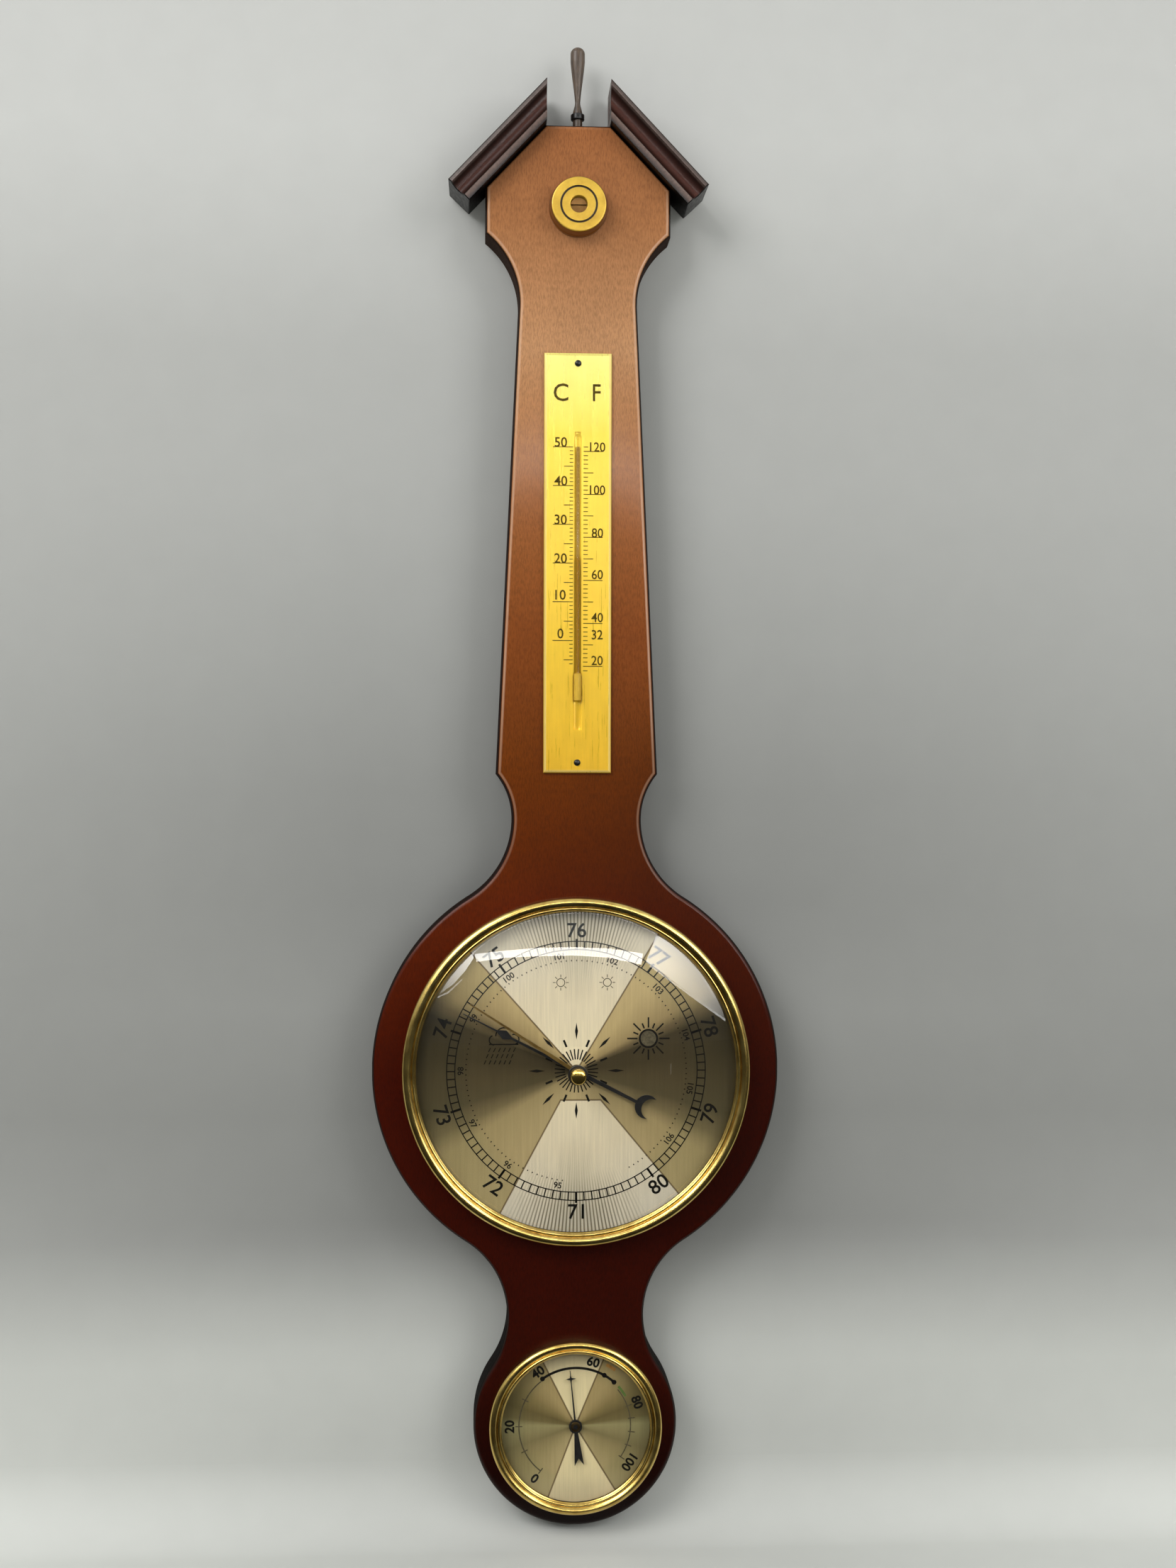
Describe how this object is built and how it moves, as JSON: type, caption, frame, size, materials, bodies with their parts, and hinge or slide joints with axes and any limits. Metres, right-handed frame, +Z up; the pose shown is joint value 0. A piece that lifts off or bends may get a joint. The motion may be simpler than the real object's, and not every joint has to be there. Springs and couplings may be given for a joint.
{
  "type": "wall barometer",
  "caption": "Shaped wooden wall board with a domed aneroid barometer, a glass-tube thermometer and a small hygrometer below, topped by a broken pediment with a turned finial.",
  "frame": {"origin": "centre of the hanger plate's round keyhole, on the wall plane", "axes": "+Z up, +X to the viewer's right, -Y out of the wall towards the viewer, back of the board on Y = 0"},
  "size_m": [0.165, 0.037, 0.6023],
  "materials": {
    "stained_wood": "reddish-brown stain under satin lacquer",
    "dark_wood": "near-black stained moulding, satin",
    "dowel_wood": "bare beech, hidden",
    "finial_wood": "turned wood, dark taupe, satin",
    "black_ring": "blackened turned bead, satin",
    "rosette_brass": "polished and lacquered",
    "rosette_screw": "tarnished",
    "plated_steel": "plain plated screws and pins",
    "scale_brass": "bright yellow brass, satin",
    "black_pins": "black round heads",
    "clear_glass": "clear",
    "thermometer_liquid": "dark column in the tube",
    "case_metal": "drawn sheet case",
    "bezel_brass": "polished, turned mouldings",
    "seat_brass": "dark reflector ring under the glass",
    "dial_metal": "silvered dial with printed scale",
    "movement_brass": "plain brass",
    "spring_steel": "ground steel",
    "capsule_metal": "corrugated capsule metal",
    "blued_steel": "blued spring",
    "hand_black": "black lacquered hand",
    "hand_brass": "thin brass hand",
    "knob_brass": "turned and knurled",
    "humidity_strip": "metal strip with a humidity-sensitive coat"
  },
  "bodies": {
    "housing": {"backboard": "stained_wood", "pediment_left": "dark_wood", "pediment_right": "dark_wood", "pediment_dowels": "dowel_wood", "finial": "finial_wood", "finial_ring": "black_ring", "rosette": "rosette_brass", "rosette_screw": "rosette_screw", "hanger_plate": "plated_steel", "hanger_screws": "plated_steel", "thermometer_plate": "scale_brass", "thermometer_pins": "black_pins", "thermometer_tube": "clear_glass", "thermometer_liquid": "thermometer_liquid", "barometer_case": "case_metal", "case_screws": "plated_steel", "barometer_bezel": "bezel_brass", "barometer_seat_ring": "seat_brass", "barometer_glass": "clear_glass", "barometer_dial": "dial_metal", "bed_plate": "movement_brass", "bed_screws": "plated_steel", "capsule_spring_bar": "spring_steel", "bar_screw": "plated_steel", "capsule_drum": "capsule_metal", "shaft_brackets": "movement_brass", "bracket_screws": "plated_steel", "sector_screw": "plated_steel", "movement_bridge": "movement_brass", "bridge_pillars": "movement_brass", "bridge_screws": "plated_steel", "hairspring": "blued_steel", "glass_bush": "knob_brass", "hygrometer_case": "case_metal", "hygrometer_screws": "plated_steel", "hygrometer_bezel": "bezel_brass", "hygrometer_seat_ring": "seat_brass", "hygrometer_glass": "clear_glass", "hygrometer_dial": "dial_metal", "hygrometer_bridge": "movement_brass", "hygrometer_bridge_screws": "plated_steel", "coil_post": "movement_brass", "humidity_coil": "humidity_strip"},
    "hand": {"pinion_arbor": "plated_steel", "indicator_hand": "hand_black"},
    "sector": {"sector_gear": "movement_brass"},
    "rocker": {"rocking_shaft": "spring_steel"},
    "capsule_top": {"capsule_diaphragm": "capsule_metal", "capsule_post": "plated_steel"},
    "setting_hand": {"set_hand": "hand_brass", "set_knob": "knob_brass"},
    "adjuster": {"adjusting_screw": "plated_steel"},
    "humidity_hand": {"hygrometer_arbor": "plated_steel", "hygrometer_pointer": "hand_black"}
  },
  "joints": [
    {"name": "hand_turn", "type": "hinge", "parent": "housing", "child": "hand", "pos_m": [0, -0.019, -0.362], "axis": [0, 1, 0], "range_deg": [-117.6, 207.2]},
    {"name": "sector_swing", "type": "hinge", "parent": "housing", "child": "sector", "pos_m": [0.02853, -0.0046, -0.35273], "axis": [0, 1, 0], "range_deg": [-14.81, 8.41]},
    {"name": "shaft_rock", "type": "hinge", "parent": "housing", "child": "rocker", "pos_m": [0, -0.0137, -0.35273], "axis": [1, 0, 0], "range_deg": [-6.73, 11.85]},
    {"name": "capsule_breathe", "type": "slide", "parent": "housing", "child": "capsule_top", "axis": [0, 1, 0], "range_m": [-0.0002932, 0.0005166]},
    {"name": "setting_turn", "type": "hinge", "parent": "housing", "child": "setting_hand", "pos_m": [0, -0.0215, -0.362], "axis": [0, 1, 0], "continuous": true},
    {"name": "adjuster_turn", "type": "hinge", "parent": "housing", "child": "adjuster", "pos_m": [-0.0245, -0.0015, -0.34123], "axis": [0, 1, 0], "range_deg": [-360, 360]},
    {"name": "humidity_turn", "type": "hinge", "parent": "housing", "child": "humidity_hand", "pos_m": [0, -0.018, -0.5056], "axis": [0, 1, 0], "range_deg": [-136.2, 130.8]}
  ],
  "couplings": [
    {"joint": "hand_turn", "follows": "capsule_breathe", "rad_per_m": 7000},
    {"joint": "sector_swing", "follows": "capsule_breathe", "rad_per_m": -500},
    {"joint": "shaft_rock", "follows": "capsule_breathe", "rad_per_m": 400}
  ]
}
